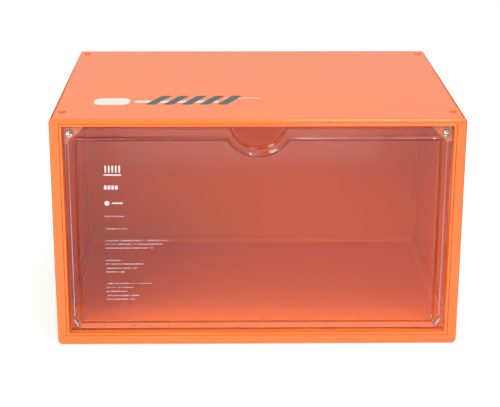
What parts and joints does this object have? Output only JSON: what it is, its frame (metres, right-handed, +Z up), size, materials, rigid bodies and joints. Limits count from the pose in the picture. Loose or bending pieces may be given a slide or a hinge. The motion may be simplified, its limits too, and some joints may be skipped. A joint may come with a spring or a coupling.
{
  "type": "shoe display box",
  "caption": "Stackable drop-front box for a pair of shoes: moulded panels, an inner door frame and a clear door held shut by magnets.",
  "frame": {"origin": "on the ground, under the middle of the case", "axes": "+X to the right seen from the door, +Y towards the back, +Z up; the door is at -Y"},
  "size_m": [0.36, 0.28, 0.2112],
  "materials": {
    "orange_shell": "smooth moulded, semi-gloss",
    "orange_frame": "smooth moulded, semi-gloss",
    "clear_door": "clear, polished",
    "nickel": "nickel plated",
    "white_print": "screen-printed ink, satin",
    "grey_print": "screen-printed ink, satin"
  },
  "bodies": {
    "case": {"top_panel": "orange_shell", "bottom_panel": "orange_shell", "left_panel": "orange_shell", "right_panel": "orange_shell", "back_panel": "orange_shell", "door_frame": "orange_frame", "frame_magnet_left": "nickel", "frame_magnet_right": "nickel"},
    "door": {"door": "clear_door", "door_magnet_left": "nickel", "door_magnet_right": "nickel"}
  },
  "joints": [
    {"name": "door_hinge", "type": "hinge", "parent": "case", "child": "door", "pos_m": [0, -0.135, 0.0159], "axis": [1, 0, 0], "range_deg": [0, 90]}
  ]
}
